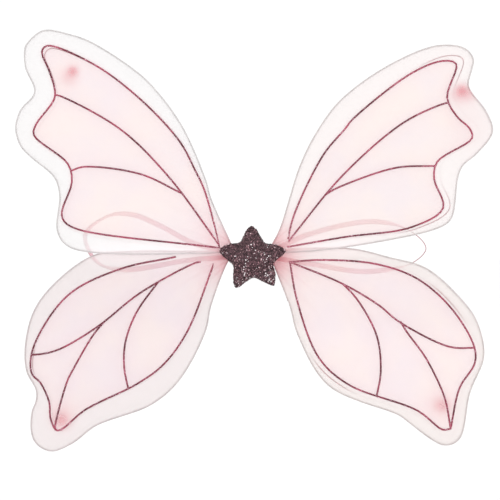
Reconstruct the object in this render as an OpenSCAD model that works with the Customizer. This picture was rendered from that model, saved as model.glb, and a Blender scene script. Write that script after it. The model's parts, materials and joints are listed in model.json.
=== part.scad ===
// Fairy wings: four wire-edged fabric wings on a hub, with a padded star and two elastic shoulder loops.
// Millimetres. Origin at the middle of the back pad's rear face. +X right, +Z up, -Y out past the star.

/* [Display] */
// Which piece to draw, or all of them

/* [Wings] */
// Height of the line where the wings meet, above the middle of the hub
root_lift = 8; // [4:0.5:12]
// Diameter of the edge wire
wire_dia = 1.8; // [1.2:0.1:2.6]
// Distance of the wire's centre inside the fabric's edge
wire_inset = 1; // [0.8:0.1:2]
// Thickness of one layer of fabric
fabric = 0.35; // [0.2:0.05:0.6]
// Gap between the wire and each layer of fabric
fabric_gap = 0.05; // [0:0.05:0.3]
// Clear gap between the upper and lower wings
wing_gap = 1; // [0.8:0.1:2]
// Distance from the middle of the part to the line where the wings fold
fold_x = 37; // [36:0.5:45]
// Spacing of points along the fabric's edge and the wire
edge_step = 7; // [4:1:12]

/* [Glitter lines] */
// Width of a raised line of glitter
line_width = 1.9; // [1:0.1:3]
// Height of a raised line of glitter
line_height = 0.6; // [0.3:0.1:1.2]

/* [Star] */
// Length of the star's top point, from the middle
star_tip = 34; // [25:0.1:45]
// Anticlockwise turn of the star, in degrees
star_turn = 0; // [-10:0.5:10]
// Height of the padded front
star_puff = 13; // [6:0.5:20]
// Thickness of the glitter cloth
star_cloth = 0.8; // [0.5:0.1:1.5]
// Thickness of the felt behind the star
star_felt = 1.2; // [0.8:0.1:2]

/* [Hub] */
// Radius of the back pad
pad_radius = 16.5; // [12:0.5:18]
// Thickness of the back pad
pad_thick = 2; // [1.5:0.1:4]
// Half width of the tape wrapped round the ends of the wires
wrap_x = 18.5; // [14:0.5:19]

/* [Shoulder loops] */
// Width of the elastic
elastic_width = 5; // [3:0.5:8]
// Thickness of the elastic
elastic_thick = 0.8; // [0.5:0.1:1.5]
// Angle that the loops stand off the wings, in degrees
loop_angle = 12; // [8:1:20]
// How far the elastic turns on edge at the outer end of a loop, in degrees
loop_twist = 65; // [0:5:80]

/* [Hidden] */

// Layers from the back pad forwards, as positions along Y
wire_r = wire_dia / 2;
layer_near = wire_r + fabric_gap;
layer_far = layer_near + fabric;
elastic_y = -pad_thick - 0.2 - elastic_thick / 2;
elastic_front = elastic_y - elastic_thick / 2;
lower_y = elastic_front - 0.3 - layer_far;
upper_y = lower_y - 2 * layer_far - wing_gap;
backing_y = upper_y - layer_far - line_height - 0.1;
star_y = backing_y - star_felt;
star_at = [2, -2];

// Ends of the pieces that meet at the fold, measured out from it
upper_start = 0.4;
upper_neck_end = 1.7;
upper_tail_end = 2.2;
lower_start = 0.6;
neck_inset = 2.2;
neck_x = 23;
neck_thick = 1.7;

// Wing outlines as key points [x, z], from the leading edge's root round to the other root
upper_left_edge = [
    [-19, 5], [-40, 53], [-44, 68], [-69, 125], [-100, 166], [-121, 184], [-161, 209], [-181, 216],
    [-208, 220], [-225, 206], [-227, 200], [-226, 182], [-217, 158], [-231, 140], [-236, 122], [-231, 104],
    [-221, 93], [-197, 72], [-192, 55], [-194, 18], [-181, 2], [-51, -4], [-19, -2]
];
upper_right_edge = [
    [19, 3], [28, 20], [48, 83], [64, 116], [89, 150], [139, 186], [187, 205], [214, 202],
    [223, 191], [221, 179], [218, 164], [236, 138], [242, 118], [225, 95], [213, 85], [208, 75],
    [202, 34], [196, 26], [177, 18], [69, -1], [19, -3]
];
lower_left_edge = [
    [-19, -7], [-24, -14], [-40, -57], [-45, -81], [-71, -130], [-99, -155], [-156, -177], [-177, -193],
    [-198, -202], [-210, -199], [-218, -191], [-221, -180], [-220, -162], [-216, -151], [-216, -140],
    [-225, -123], [-227, -98], [-218, -61], [-196, -32], [-158, -5], [-126, -1], [-19, -1]
];
lower_right_edge = [
    [19, -6], [22, -14], [39, -58], [46, -84], [77, -136], [141, -163], [148, -166], [193, -196],
    [209, -190], [220, -143], [234, -106], [227, -72], [212, -50], [176, -18], [139, -7], [99, 2], [19, 1]
];

// Glitter lines of each wing: the inner contour, then the veins
upper_left_lines = [
    [[-31, 4], [-47, 61], [-56, 80], [-71, 108], [-111, 151], [-158, 186], [-204, 204], [-209, 198],
     [-202, 180], [-196, 160], [-197, 150], [-215, 125], [-217, 115], [-183, 86], [-179, 68],
     [-189, 38], [-187, 29], [-174, 21], [-31, 2]],
    [[-196, 155], [-191, 154], [-131, 121], [-83, 74], [-31, 4]],
    [[-180, 79], [-168, 83], [-111, 76], [-68, 56]]
];
upper_right_lines = [
    [[36, 7], [42, 32], [59, 71], [75, 99], [94, 121], [101, 130], [161, 177], [192, 189], [205, 186],
     [196, 152], [207, 132], [218, 122], [221, 112], [186, 88], [183, 71], [192, 42], [161, 23],
     [94, 13], [36, 3]],
    [[196, 147], [189, 145], [152, 127], [93, 76], [36, 7]],
    [[183, 84], [144, 82], [84, 61], [74, 55]]
];
lower_left_lines = [
    [[-76, -7], [-131, -19], [-183, -45], [-215, -90], [-221, -113], [-219, -125], [-211, -133],
     [-202, -153], [-201, -168], [-194, -181], [-166, -160], [-114, -134], [-88, -115], [-64, -82],
     [-37, -13]],
    [[-51, -12], [-56, -13], [-111, -43], [-154, -77], [-191, -99], [-208, -104], [-220, -105]],
    [[-93, -32], [-115, -63], [-126, -93], [-127, -118], [-123, -139]],
    [[-147, -72], [-158, -85], [-180, -123], [-184, -131], [-196, -175], [-196, -180]]
];
lower_right_lines = [
    [[39, -12], [69, -10], [125, -14], [167, -29], [202, -60], [224, -98], [224, -114], [209, -138],
     [200, -179]],
    [[200, -179], [192, -180], [167, -161], [98, -135], [68, -108], [46, -50], [39, -12]],
    [[39, -12], [92, -34], [129, -56], [147, -71], [199, -97], [224, -98]],
    [[92, -34], [106, -49], [126, -86], [130, -122], [126, -146]],
    [[150, -72], [156, -82], [175, -108], [194, -148], [200, -179]]
];

// Routes of the elastic, seen from the front, from its upper end round to its lower end
left_loop = [
    [-19, -2], [-56, 6], [-93, 25], [-121, 36], [-145, 35], [-170, 16], [-158, -12], [-131, -20],
    [-61, -10], [-19, -7]
];
right_loop = [
    [19, -2], [59, 16], [124, 29], [161, 21], [180, 2], [166, -13], [119, -22], [60, -14], [19, -7]
];
loop_pivot_x = 18.9;
loop_step = 9;
loop_start = 0.5;

// Smooth curve through key points, whose speed follows their spacing
function knot(a, b) = sqrt(norm(b - a));
function blend(p1, m1, p2, m2, t) =
    (2 * t * t * t - 3 * t * t + 1) * p1 + (t * t * t - 2 * t * t + t) * m1
    + (3 * t * t - 2 * t * t * t) * p2 + (t * t * t - t * t) * m2;
function span(a, b, c, d, n) =
    let (u = knot(a, b), v = knot(b, c), w = knot(c, d))
    let (m1 = (c - b) + v * ((b - a) / u - (c - a) / (u + v)))
    let (m2 = (c - b) + v * ((d - c) / w - (d - b) / (v + w)))
    [for (k = [0 : n - 1]) blend(b, m1, c, m2, k / n)];
function with_ends(p) =
    let (n = len(p))
    concat([2 * p[0] - p[1]], p, [2 * p[n - 1] - p[n - 2]]);
function curve(p, step) =
    let (q = with_ends(p))
    concat(
        [for (i = [1 : len(q) - 3])
            each span(q[i - 1], q[i], q[i + 1], q[i + 2], max(3, ceil(norm(q[i + 1] - q[i]) / step)))],
        [p[len(p) - 1]]);

// Unit normal to the left of a path at point i, and the path moved sideways along it
function along(p, i) =
    let (d = p[min(i + 1, len(p) - 1)] - p[max(i - 1, 0)])
    d / norm(d);
function left_of(d) = [-d[1], d[0]];
function moved(p, side) = [for (i = [0 : len(p) - 1]) p[i] + side * left_of(along(p, i))];
function flipped(p) = [for (i = [len(p) - 1 : -1 : 0]) p[i]];

// Path split where it passes the distance x from the middle
function first_past(p, x, i = 0) = abs(p[i][0]) >= x ? i : first_past(p, x, i + 1);
function last_past(p, x) = len(p) - 1 - first_past(flipped(p), x);
function at_x(a, b, x) = a + (b - a) * (x - abs(a[0])) / (abs(b[0]) - abs(a[0]));
function head(p, x) =
    let (i = first_past(p, x))
    concat([for (k = [0 : i - 1]) p[k]], [at_x(p[i - 1], p[i], x)]);
function tail(p, x) = flipped(head(flipped(p), x));
function middle(p, x) =
    let (i = first_past(p, x), j = last_past(p, x))
    concat([at_x(p[i - 1], p[i], x)], [for (k = [i : j]) p[k]], [at_x(p[j + 1], p[j], x)]);

// Wing curves. An outline's inside is to its left where it encloses its area anticlockwise
function edge(keys) = curve(keys, edge_step);
function area(p, i = 0) =
    i == len(p) - 1 ? 0 : p[i][0] * p[i + 1][1] - p[i + 1][0] * p[i][1] + area(p, i + 1);
function inset(keys, distance) = moved(edge(keys), area(keys) > 0 ? distance : -distance);
function wire_path(keys) = inset(keys, wire_inset);

// Flat piece in the wing's plane, between two positions along Y
module sheet(y0, y1) {
    translate([0, max(y0, y1), root_lift])
        rotate([90, 0, 0])
            linear_extrude(abs(y1 - y0))
                children();
}

// Everything past the distance x from the middle, on one side
module past(side, x) {
    width = 260;
    translate([side > 0 ? x : -x - width, -260])
        square([width, 520]);
}

// Round wire along a flat path. A round end keeps it whole where it bends at the fold
module wire(path, y, round_ends = false) {
    sides = 8;
    r = wire_r / cos(180 / sides);
    n = len(path);
    first_way = along(path, 0);
    last_way = along(path, n - 1);
    tilts = round_ends ? [75, 50, 25] : [];
    starts = [for (a = tilts) [path[0] - r * sin(a) * first_way, first_way, cos(a)]];
    stations = [for (i = [0 : n - 1]) [path[i], along(path, i), 1]];
    finishes = [for (a = flipped(tilts)) [path[n - 1] + r * sin(a) * last_way, last_way, cos(a)]];
    all = concat(starts, stations, finishes);
    rings = [for (q = all) for (k = [0 : sides - 1])
        let (a = (k + 0.5) * 360 / sides, c = q[0] + r * q[2] * cos(a) * left_of(q[1]))
        [c[0], y + r * q[2] * sin(a), c[1] + root_lift]];
    walls = [for (i = [0 : len(all) - 2]) for (k = [0 : sides - 1])
        let (a = i * sides + k, b = i * sides + (k + 1) % sides)
        [a, b, b + sides, a + sides]];
    first = [for (k = [sides - 1 : -1 : 0]) k];
    last = [for (k = [0 : sides - 1]) (len(all) - 1) * sides + k];
    polyhedron(rings, concat([first], walls, [last]), convexity = 6);
}

module root_wires(upper, lower) {
    for (part = [[upper, upper_y, fold_x - upper_tail_end], [lower, lower_y, fold_x - lower_start]]) {
        path = wire_path(part[0]);
        wire(head(path, part[2]), part[1]);
        wire(tail(path, part[2]), part[1]);
    }
}

module wing_fabric(keys, side, y0, y1, start) {
    sheet(y0, y1)
        intersection() {
            polygon(edge(keys));
            past(side, fold_x + start);
        }
}

// Gathered fabric between the wires, from the hub to the fold
module neck(keys, y, end) {
    path = inset(keys, neck_inset);
    outer = concat(cut(head(path, fold_x - end)), cut(tail(path, fold_x - end)));
    sheet(y - neck_thick / 2, y + neck_thick / 2)
        polygon(outer);
}
function cut(p) = [for (q = p) if (abs(q[0]) >= neck_x) q];

// Line of glitter with round ends
module ribbon(keys) {
    path = curve(keys, edge_step);
    n = len(path);
    half = line_width / 2;
    polygon(concat(
        moved(path, half), round_end(path[n - 1], along(path, n - 1), half),
        flipped(moved(path, -half)), round_end(path[0], -along(path, 0), half)));
}
function round_end(p, way, r) =
    [for (a = [60, 30, 0, -30, -60]) p + r * (cos(a) * way + sin(a) * left_of(way))];

module glitter(lines, side, y, start) {
    front = y - layer_far;
    sheet(front - line_height, front)
        intersection() {
            union()
                for (keys = lines)
                    ribbon(keys);
            past(side, fold_x + start);
        }
}

// Star outline, anticlockwise from the right-hand point: angle and share of star_tip.
// As on a stuffed star, the points are a little uneven and the side points are full on top
star_shape = [
    [4, 0.76], [11, 0.91], [16, 1], [21, 0.95], [36, 0.79], [54, 0.615],
    [70, 0.71], [86.5, 0.93], [92, 1], [97, 0.96], [112, 0.755], [126, 0.65],
    [144, 0.805], [157, 0.975], [163, 1.03], [168, 0.97], [180, 0.75], [196, 0.605],
    [216, 0.72], [231, 0.89], [237, 0.96], [242, 0.9], [252, 0.68], [274, 0.52],
    [292, 0.665], [304.5, 0.88], [309, 0.97], [315, 0.91], [330, 0.755], [349, 0.605]
];
star_keys = [for (q = star_shape) star_tip * q[1] * [cos(q[0] + star_turn), sin(q[0] + star_turn)]];
function closed_curve(p, n) =
    let (m = len(p))
    [for (i = [0 : m - 1]) each span(p[(i + m - 1) % m], p[i], p[(i + 1) % m], p[(i + 2) % m], n)];
star_ring = closed_curve(star_keys, 3);

// Padded form on the star's outline: open and flat at the back, rising towards -Y
dome_levels = 7;
dome_sides = len(star_ring);
dome_top = dome_levels * dome_sides;
function dome_points(height, inset) =
    let (scale_edge = (star_tip - inset) / star_tip)
    concat(
        [for (j = [0 : dome_levels - 1])
            let (a = 90 * j / dome_levels)
            let (size = scale_edge * cos(a))
            for (p = star_ring)
                [star_at[0] + p[0] * size, star_y - height * sin(a), star_at[1] + p[1] * size]],
        [[star_at[0], star_y - height, star_at[1]]]);
dome_walls = [
    for (j = [0 : dome_levels - 2]) for (k = [0 : dome_sides - 1])
        let (a = j * dome_sides + k, b = j * dome_sides + (k + 1) % dome_sides)
        each [[a, a + dome_sides, b + dome_sides], [a, b + dome_sides, b]],
    for (k = [0 : dome_sides - 1])
        let (a = dome_top - dome_sides)
        [a + k, dome_top, a + (k + 1) % dome_sides]
];

module star_cover() {
    inner = dome_top + 1;
    lining = [for (f = dome_walls) [inner + f[2], inner + f[1], inner + f[0]]];
    rim = [for (k = [0 : dome_sides - 1])
        let (next = (k + 1) % dome_sides)
        each [[k, next, inner + next], [k, inner + next, inner + k]]];
    color("#6b3a44")
        polyhedron(
            concat(dome_points(star_puff, 0), dome_points(star_puff - star_cloth, star_cloth)),
            concat(dome_walls, lining, rim), convexity = 6);
}

module star_filling() {
    clearance = 0.1;
    back = [for (k = [0 : dome_sides - 1]) [k, (k + 1) % dome_sides, dome_top + 1]];
    color("white")
        polyhedron(
            concat(
                dome_points(star_puff - star_cloth - clearance, star_cloth + clearance),
                [[star_at[0], star_y, star_at[1]]]),
            concat(dome_walls, back), convexity = 6);
}

module star_backing() {
    color("#7a4650")
        translate([star_at[0], backing_y, star_at[1]])
            rotate([90, 0, 0])
                linear_extrude(star_felt)
                    polygon(star_ring);
}

module wire_wrap() {
    corner = 3;
    height = 13;
    color("#c98f9b")
        translate([0, elastic_front - 0.1, height / 2])
            rotate([90, 0, 0])
                linear_extrude(elastic_front - 0.1 - backing_y) {
                    square([2 * wrap_x - 2 * corner, height], center = true);
                    square([2 * wrap_x, height - 2 * corner], center = true);
                    for (x = [-1, 1], z = [-1, 1])
                        translate([x * (wrap_x - corner), z * (height / 2 - corner)])
                            circle(corner, $fn = 32);
                }
}

module back_pad() {
    color("#d98fa0")
        rotate([90, 0, 0])
            cylinder(pad_thick, r = pad_radius, $fn = 64);
}

module hub_stitches() {
    thread = 1;
    color("#d98fa0")
        for (p = [[-9, -5], [9, -5], [-5, -11], [5, -11]])
            translate([p[0], -pad_thick, p[1]])
                rotate([90, 0, 0])
                    cylinder(-backing_y - pad_thick, d = thread, $fn = 16);
}

module elastic_end(side) {
    inner = 9;
    outer = loop_pivot_x - 1.6;
    top = -2 + elastic_width / 2;
    bottom = -7 - elastic_width / 2;
    color("#f08aa0")
        sheet(elastic_y - elastic_thick / 2, elastic_y + elastic_thick / 2)
            translate([side > 0 ? inner : -outer, bottom])
                square([outer - inner, top - bottom]);
}

// Flat elastic along its route, on edge at the outer end of the loop
module elastic_loop(keys, side) {
    route = middle(curve(keys, loop_step), loop_pivot_x + loop_start);
    n = len(route);
    twist_reach = 0.13;
    points = [for (i = [0 : n - 1])
        let (s = i / (n - 1), a = loop_twist * exp(-pow((s - 0.5) / twist_reach, 2)))
        let (w = left_of(along(route, i)))
        for (q = [[-1, -1], [1, -1], [1, 1], [-1, 1]])
            let (u = q[0] * elastic_width / 2, v = q[1] * elastic_thick / 2)
            let (flat = u * cos(a) - v * sin(a), deep = u * sin(a) + v * cos(a))
            let (x = route[i][0] + flat * w[0], z = route[i][1] + flat * w[1])
            let (stand_off = (abs(x) - loop_pivot_x) * tan(loop_angle))
            [x - side * deep * sin(loop_angle), elastic_y + stand_off + deep, z + root_lift]];
    walls = [for (i = [0 : n - 2]) for (k = [0 : 3])
        let (a = i * 4 + k, b = i * 4 + (k + 1) % 4)
        each [[a, b, b + 4], [a, b + 4, a + 4]]];
    last = [for (k = [0 : 3]) (n - 1) * 4 + k];
    polyhedron(points, concat([[3, 2, 1, 0]], walls, [last]), convexity = 6);
}

module root_wires_left() { color("#9a9a9a") root_wires(upper_left_edge, lower_left_edge); }
module root_wires_right() { color("#9a9a9a") root_wires(upper_right_edge, lower_right_edge); }

module neck_upper_left() { color("#e58fa0") neck(upper_left_edge, upper_y, upper_neck_end); }
module neck_lower_left() { color("#e58fa0") neck(lower_left_edge, lower_y, lower_start); }
module neck_upper_right() { color("#e58fa0") neck(upper_right_edge, upper_y, upper_neck_end); }
module neck_lower_right() { color("#e58fa0") neck(lower_right_edge, lower_y, lower_start); }

module elastic_end_left() { elastic_end(-1); }
module elastic_end_right() { elastic_end(1); }
module elastic_loop_left() { color("#f08aa0") elastic_loop(left_loop, -1); }
module elastic_loop_right() { color("#f08aa0") elastic_loop(right_loop, 1); }

module wire_upper_left() {
    color("#9a9a9a") wire(middle(wire_path(upper_left_edge), fold_x), upper_y, true);
}
module wire_upper_right() {
    color("#9a9a9a") wire(middle(wire_path(upper_right_edge), fold_x), upper_y, true);
}
module wire_lower_left() {
    color("#9a9a9a") wire(middle(wire_path(lower_left_edge), fold_x + lower_start), lower_y);
}
module wire_lower_right() {
    color("#9a9a9a") wire(middle(wire_path(lower_right_edge), fold_x + lower_start), lower_y);
}

module front_fabric_upper_left() {
    color("#f7d3d8") wing_fabric(upper_left_edge, -1, upper_y - layer_far, upper_y - layer_near, upper_start);
}
module back_fabric_upper_left() {
    color("#f7d3d8") wing_fabric(upper_left_edge, -1, upper_y + layer_near, upper_y + layer_far, upper_start);
}
module front_fabric_upper_right() {
    color("#f7d3d8") wing_fabric(upper_right_edge, 1, upper_y - layer_far, upper_y - layer_near, upper_start);
}
module back_fabric_upper_right() {
    color("#f7d3d8") wing_fabric(upper_right_edge, 1, upper_y + layer_near, upper_y + layer_far, upper_start);
}
module front_fabric_lower_left() {
    color("#f7d3d8") wing_fabric(lower_left_edge, -1, lower_y - layer_far, lower_y - layer_near, lower_start);
}
module back_fabric_lower_left() {
    color("#f7d3d8") wing_fabric(lower_left_edge, -1, lower_y + layer_near, lower_y + layer_far, lower_start);
}
module front_fabric_lower_right() {
    color("#f7d3d8") wing_fabric(lower_right_edge, 1, lower_y - layer_far, lower_y - layer_near, lower_start);
}
module back_fabric_lower_right() {
    color("#f7d3d8") wing_fabric(lower_right_edge, 1, lower_y + layer_near, lower_y + layer_far, lower_start);
}

module glitter_upper_left() { color("#8c2f45") glitter(upper_left_lines, -1, upper_y, upper_start); }
module glitter_upper_right() { color("#8c2f45") glitter(upper_right_lines, 1, upper_y, upper_start); }
module glitter_lower_left() { color("#8c2f45") glitter(lower_left_lines, -1, lower_y, lower_start); }
module glitter_lower_right() { color("#8c2f45") glitter(lower_right_lines, 1, lower_y, lower_start); }

star_cover();
star_filling();
star_backing();
wire_wrap();
back_pad();
hub_stitches();
root_wires_left();
root_wires_right();
neck_upper_left();
neck_lower_left();
neck_upper_right();
neck_lower_right();
elastic_end_left();
elastic_end_right();
wire_upper_left();
front_fabric_upper_left();
back_fabric_upper_left();
glitter_upper_left();
wire_lower_left();
front_fabric_lower_left();
back_fabric_lower_left();
glitter_lower_left();
wire_upper_right();
front_fabric_upper_right();
back_fabric_upper_right();
glitter_upper_right();
wire_lower_right();
front_fabric_lower_right();
back_fabric_lower_right();
glitter_lower_right();
elastic_loop_left();
elastic_loop_right();
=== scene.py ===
"""Fairy wings: sheer cloth on edge wires, glitter lines, a padded glitter star and elastic shoulder loops."""

import json
import math
import random

import bpy
import numpy as np
from mathutils import Matrix, Quaternion, Vector, geometry, kdtree, noise


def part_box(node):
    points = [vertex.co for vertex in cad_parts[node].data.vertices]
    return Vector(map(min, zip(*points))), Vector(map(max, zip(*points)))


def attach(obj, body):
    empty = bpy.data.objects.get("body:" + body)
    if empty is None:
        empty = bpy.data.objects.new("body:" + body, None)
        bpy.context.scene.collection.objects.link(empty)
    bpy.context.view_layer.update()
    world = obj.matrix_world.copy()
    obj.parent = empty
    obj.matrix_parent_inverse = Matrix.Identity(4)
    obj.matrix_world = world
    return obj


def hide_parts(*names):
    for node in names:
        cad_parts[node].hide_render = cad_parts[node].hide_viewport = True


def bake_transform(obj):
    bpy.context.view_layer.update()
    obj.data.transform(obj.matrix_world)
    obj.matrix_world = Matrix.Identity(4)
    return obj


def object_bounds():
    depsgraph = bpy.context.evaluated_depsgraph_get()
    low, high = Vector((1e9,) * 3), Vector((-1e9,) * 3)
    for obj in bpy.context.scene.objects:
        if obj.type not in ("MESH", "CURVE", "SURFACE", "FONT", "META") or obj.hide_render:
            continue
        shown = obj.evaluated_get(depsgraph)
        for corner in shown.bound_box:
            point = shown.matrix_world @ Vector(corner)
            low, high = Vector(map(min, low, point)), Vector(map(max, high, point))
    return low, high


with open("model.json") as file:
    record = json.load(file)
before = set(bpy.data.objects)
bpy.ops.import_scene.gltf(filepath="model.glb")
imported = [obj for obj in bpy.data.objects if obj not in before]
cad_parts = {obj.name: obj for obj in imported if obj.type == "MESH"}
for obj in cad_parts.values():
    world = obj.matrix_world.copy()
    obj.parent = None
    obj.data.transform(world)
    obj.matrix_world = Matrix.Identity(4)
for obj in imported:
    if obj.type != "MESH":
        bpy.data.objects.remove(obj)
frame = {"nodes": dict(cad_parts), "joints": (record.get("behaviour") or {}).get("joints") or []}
cad_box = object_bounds()
random.seed(7)

MM = 0.001
WINGS = ["upper_left", "upper_right", "lower_left", "lower_right"]
JOINTS = {j["name"]: j for j in frame["joints"]}
FOLD_X = abs(JOINTS["fold_left"]["pos_m"][0])
HUB_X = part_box("wire_wrap")[1].x
FRONT, BACK = -1, 1  # which way a layer of cloth lies from the middle of its wing, along Y

# Sizes of the wings' cloth, wires and lines, in metres
EDGE_REACH = 1.0 * MM  # from the wire's centre to the cloth's edge
EDGE_TURN = 1.15 * MM  # strip in which a layer of cloth closes round the wire
CLOTH_STAND_OFF = 1.12 * MM  # from the middle of a wing to either layer of cloth
WIRE_RADIUS = 0.75 * MM
LINE_WIDTH = 1.9 * MM
LINE_HEIGHT = 0.75 * MM
LINE_LUMPS = 0.16  # how uneven the lines are, as a share of their height
LINE_SINK = 0.06 * MM  # how far the lines sit in the cloth
BACK_LINE_SECTION = [(-0.5, 0), (-0.3, 0.22), (0, 0.3), (0.3, 0.22), (0.5, 0)]  # across and height, in mm
BACK_LINE_GAP = 4 * MM  # where a back line leaves its wing, it has at least this much of a gap

# Spacing of points on the wings' cloth, in metres
FINE = 1.3 * MM  # near the hub
COARSE = 3.2 * MM  # elsewhere
FINE_REACH = 64 * MM  # distance from the middle at which the spacing changes
ROW_HEIGHT = 0.866  # between rows of a triangular grid, as a share of the spacing

# How far the cloth's changes of colour spread, in metres
ROOT_REACH = 30 * MM  # deeper pink at the hub
TINT_BLUR = 2.5 * MM  # change at the contour line
LINE_GLOW = 8 * MM  # pink beside the lines
# MEETING_REACH also spreads the painted light where the two wings of a side come together
MEETING_REACH = 14 * MM  # change where the two wings of a side come together
PALE_REACH = 48 * MM  # paler lines near the hub

# How strong the deeper pink is at each wing's root, and how much its lines fade there
ROOT_STRENGTH = {"upper_left": 0.75, "upper_right": 0.85, "lower_left": 0.9, "lower_right": 1.0}
PALE_START = {"upper_left": 0.25, "upper_right": 0.75, "lower_left": 0.75, "lower_right": 0.75}

# Ends of each contour line that isn't closed outside the fold: [x, z] in mm
CONTOUR_ENDS = {
    "upper_left": ((-37, 36), (-37, 10)),
    "upper_right": ((37, 16), (37, 11)),
    "lower_left": ((-76, 1), (-37, -5)),
}

# Where each upper wing's lines meet: height, and distance inboard of the fold
FAN_HEIGHT = {"upper_left": 10.5 * MM, "upper_right": 11 * MM}
FAN_LENGTH = {"upper_left": 5.6 * MM, "upper_right": 1.4 * MM}
SHORT_FAN = 3 * MM  # below this length the lines run straight on

# Lines of the back layer, seen through the front one: how they lie against the front lines, as a
# scale about a point and a shift, and where they show clearly. All in mm: [x, z, reach]
BACK_LINES = {
    "upper_left": (1, (0, 0), (3.4, -3.4), [(-198, 208, 32)]),
    "upper_right": (1.03, (0, 8), (0, -1.2), [(204, 206, 31), (182, 39, 31)]),
    "lower_left": (1, (0, 0), (2.9, 0.5), [(-218, -104, 12)]),
    "lower_right": (1.05, (130, -90), (-1, -1.2), [(80, -118, 24), (196, -45, 24)]),
}

# Rose marks on the cloth: x and z in mm, radius in mm, strength
BLOTS = {
    "upper_left": [(-178, 187, 5, 0.72), (-182, 181, 9, 0.36)],
    "upper_right": [
        (211, 168, 6, 0.65),
        (206, 163, 9, 0.35),
        (219, 164, 8, 0.38),
        (216, 145, 22, 0.09),
        (228, 120, 24, 0.05),
    ],
    "lower_left": [(-190, -163, 7, 0.6), (-189, -158, 12, 0.25)],
    "lower_right": [(192, -148, 7, 0.5), (188, -146, 13, 0.2)],
}

# View of the photo, in metres
VIEW_CENTRE_X = -1 * MM
VIEW_CENTRE_Z = 8 * MM
VIEW_WIDTH = 0.5

# Star
STAR_FLAKES = 3200
STAR_CENTRE_Z = -2 * MM
STAR_PUFF = 0.985  # height of the blown-up star, as a share of the CAD star's
SWELL_STEP = 0.7 * MM
SWELL_ROUNDS = 2500

# Hub
TAPE_PITCH = 4.4 * MM
TAPE_LAP = 0.3 * MM
PAD_STITCHES = 34
THREAD_TURNS = 2.4  # in each of the threads that hold the hub together
THREAD_RADIUS = 0.26 * MM

# Elastic
BAND_WIDTH = 5 * MM
BAND_HALF_THICKNESS = 0.36 * MM
BAND_RIB = 0.06 * MM
BAND_COLUMNS = 24  # points across each face of the band
# Where a band turns, as shares of its reach from the middle, and the direction across it at its far
# end: the left one half faces the front, the right one is nearly edge-on
BAND_TURN = (0.72, 0.93)
FAR_END_ACROSS = {"left": (0.75, 0.66, 0), "right": (0.1, 0.99, 0)}


# Small helpers


def srgb(r, g, b):
    """Linear colour of an 8-bit sRGB one"""
    shares = (r / 255, g / 255, b / 255)
    return tuple(c / 12.92 if c <= 0.04045 else ((c + 0.055) / 1.055) ** 2.4 for c in shares)


def scaled(colour, by):
    """A colour times three numbers, no brighter than white"""
    return tuple(min(1, c * k) for c, k in zip(colour, by))


def side_of(wing):
    """-1 for a left wing and 1 for a right one"""
    return -1 if wing.endswith("left") else 1


def side_word(wing):
    return "left" if side_of(wing) < 0 else "right"


def body_of(wing):
    """The body that carries the part of a wing outside the fold"""
    return wing + "_wing"


def neighbour(wing):
    """The other wing of the same side"""
    return wing.replace("upper", "lower") if wing.startswith("upper") else wing.replace("lower", "upper")


def plane_of(wing):
    """Position along Y of the middle of a wing"""
    low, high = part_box("wire_" + wing)
    return (low.y + high.y) / 2


def smoothstep(x, low, high):
    """Smooth rise from 0 at low to 1 at high"""
    t = np.clip((np.asarray(x) - low) / (high - low), 0, 1)
    return t * t * (3 - 2 * t)


def bell(points, x, z, reach, power=2):
    """1 at a place given in mm, fading to 0 past its reach"""
    away = np.linalg.norm(points - np.array([x, z]) * MM, axis=1)
    return np.exp(-((away / (reach * MM)) ** power))


def uneven(points, width, height, seed):
    """Smooth noise from -1 to 1 at points [x, z], with hills of a width and height"""
    return np.array([noise.noise(Vector((x / width, z / height, seed))) for x, z in points])


# Shapes read from the CAD nodes


def cad_mesh(node):
    """Points and triangles of a CAD node, with shared corners joined"""
    mesh = frame["nodes"][node].data
    mesh.calc_loop_triangles()
    keys = {}
    index = [keys.setdefault(tuple(round(c, 6) for c in v.co), len(keys)) for v in mesh.vertices]
    triangles = [tuple(index[i] for i in t.vertices) for t in mesh.loop_triangles]
    return np.array(list(keys)), [t for t in triangles if len(set(t)) == 3]


def cad_solids(node):
    """Points of each separate solid of a CAD node"""
    points, triangles = cad_mesh(node)
    group = list(range(len(points)))

    def root(i):
        while group[i] != i:
            group[i] = group[group[i]]
            i = group[i]
        return i

    for a, b, c in triangles:
        group[root(b)] = root(a)
        group[root(c)] = root(a)
    found = {}
    for i in range(len(points)):
        found.setdefault(root(i), []).append(i)
    return [points[members] for members in found.values()]


def face_loops(node):
    """Closed outlines [x, z] of a flat node's front face, longest first"""
    points, triangles = cad_mesh(node)
    front = points[:, 1].min()
    sides = set()
    for t in triangles:
        if all(abs(points[i][1] - front) < 1e-6 for i in t):
            sides.update(zip(t, t[1:] + t[:1]))
    following = {a: b for a, b in sides if (b, a) not in sides}
    loops = []
    while following:
        start, here = following.popitem()
        loop = [start]
        while here != start:
            loop.append(here)
            here = following.pop(here)
        loops.append(points[loop][:, [0, 2]])
    return sorted(loops, key=length_of, reverse=True)


def wire_centres(points, top):
    """Centre line [x, z], from the hub outwards, of a round wire whose crest is at Y = top"""
    crest = points[np.abs(points[:, 1] - top) < 2e-6][:, [0, 2]]
    left = list(range(len(crest)))
    centres = []
    while left:
        i = left.pop(0)
        gaps = [np.linalg.norm(crest[i] - crest[j]) for j in left]
        if gaps and min(gaps) < 1.1 * MM:
            j = left.pop(int(np.argmin(gaps)))
            centres.append((crest[i] + crest[j]) / 2)
    centres = np.array(centres)
    order = [int(np.argmin(np.abs(centres[:, 0])))]
    rest = set(range(len(centres))) - set(order)
    while rest:
        here = centres[order[-1]]
        near = min(rest, key=lambda i: np.linalg.norm(centres[i] - here))
        order.append(near)
        rest.remove(near)
    return centres[order]


# Paths in a wing's plane, as arrays of [x, z]


def length_of(path):
    return float(np.linalg.norm(np.diff(path, axis=0), axis=1).sum())


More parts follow.
